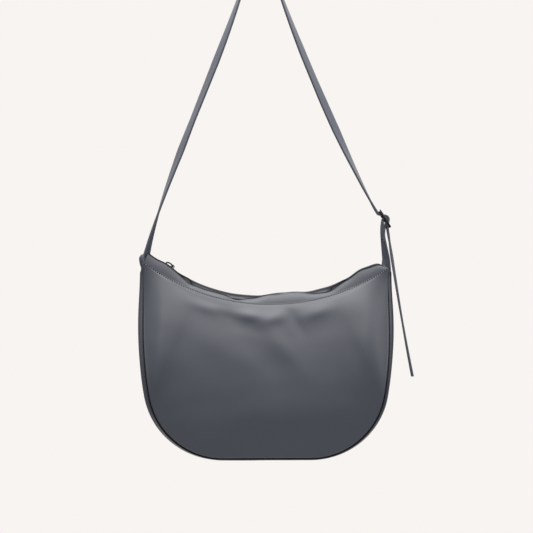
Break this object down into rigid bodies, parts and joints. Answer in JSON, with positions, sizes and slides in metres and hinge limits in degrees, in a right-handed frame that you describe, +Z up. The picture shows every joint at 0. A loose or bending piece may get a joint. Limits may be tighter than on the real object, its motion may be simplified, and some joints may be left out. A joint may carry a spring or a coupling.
{
  "type": "hobo bag",
  "caption": "Crescent hobo bag in smooth leather with a curved top zip, a ring puller and a buckled shoulder strap with a long free tail.",
  "frame": {"origin": "underside of the strap at the top of its loop, where a hook or shoulder carries it", "axes": "+X towards the buckle, +Y towards the back of the bag, +Z up"},
  "size_m": [0.413, 0.095, 0.7642],
  "materials": {
    "leather": "smooth satin",
    "strap_leather": "smooth satin",
    "lining": "matte twill",
    "zip_tape": "woven tape",
    "zip_teeth": "nylon coil",
    "hardware": "gloss black",
    "thread": "waxed thread"
  },
  "bodies": {
    "strap": {"strap_face": "strap_leather", "strap_back": "strap_leather", "chape": "strap_leather", "chape_stitch": "thread", "buckle_frame": "hardware"},
    "prong": {"buckle_prong": "hardware"},
    "bag": {"front_panel": "leather", "back_panel": "leather", "gusset": "leather", "front_facing": "leather", "back_facing": "leather", "front_topstitch": "thread", "back_topstitch": "thread", "zip_tape_front": "zip_tape", "zip_tape_back": "zip_tape", "zip_teeth_front": "zip_teeth", "zip_teeth_back": "zip_teeth", "zip_top_stops": "hardware", "zip_bottom_stop": "hardware", "strap_tab": "strap_leather", "chape_tab": "strap_leather", "lining_front": "lining", "lining_back": "lining", "lining_gusset": "lining", "slip_pocket": "lining"},
    "slider": {"zip_slider": "hardware"},
    "ring": {"puller_ring": "hardware"}
  },
  "joints": [
    {"name": "bag_swing", "type": "hinge", "parent": "strap", "child": "bag", "pos_m": [0.009, 0, -0.46], "axis": [1, 0, 0], "range_deg": [-60, 60]},
    {"name": "prong_lift", "type": "hinge", "parent": "strap", "child": "prong", "pos_m": [0.1875, 0, -0.401], "axis": [0, 1, 0], "range_deg": [0, 30]},
    {"name": "slider_travel", "type": "hinge", "parent": "bag", "child": "slider", "pos_m": [0.015, 0, -0.2435], "axis": [0, -1, 0], "range_deg": [0, 63.1]},
    {"name": "ring_flip", "type": "hinge", "parent": "slider", "child": "ring", "pos_m": [-0.13092, 0, -0.47199], "axis": [0.1475, 0.9613, 0.2328], "range_deg": [0, 150]}
  ]
}
